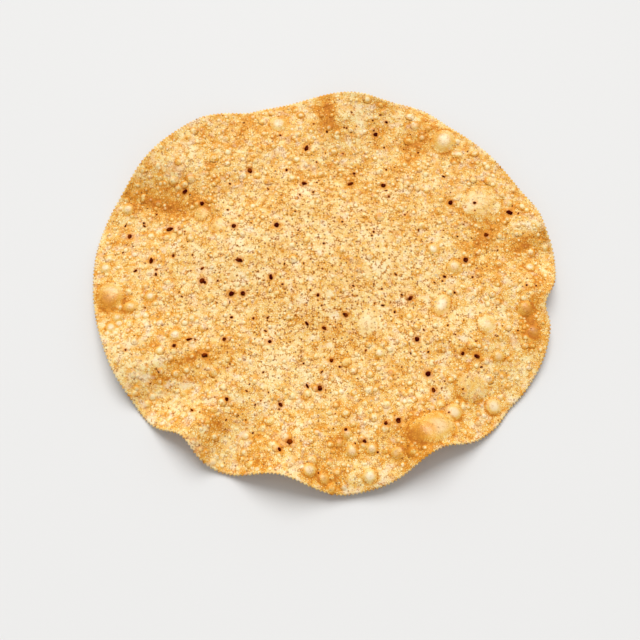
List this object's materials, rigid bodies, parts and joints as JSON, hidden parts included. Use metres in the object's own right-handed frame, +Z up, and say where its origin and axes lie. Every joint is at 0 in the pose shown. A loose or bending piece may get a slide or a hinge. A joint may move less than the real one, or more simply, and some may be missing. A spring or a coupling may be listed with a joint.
{
  "type": "papadum",
  "caption": "Thin crisp fried papadum: a wavy blistered golden disc with a finely toothed rim and dark pepper grains, to lay on a plate or table.",
  "frame": {"origin": "on the ground under the middle of the outline's box", "axes": "+Z up out of the shown face, +X to the right and +Y to the back as the picture shows it"},
  "size_m": [0.2036, 0.1868, 0.0132],
  "materials": {
    "crisp": "golden fried crisp, dry with a faint oil sheen",
    "pepper": "dark cracked pepper, matt"
  },
  "bodies": {
    "root": {"papadum": "crisp"}
  },
  "joints": []
}
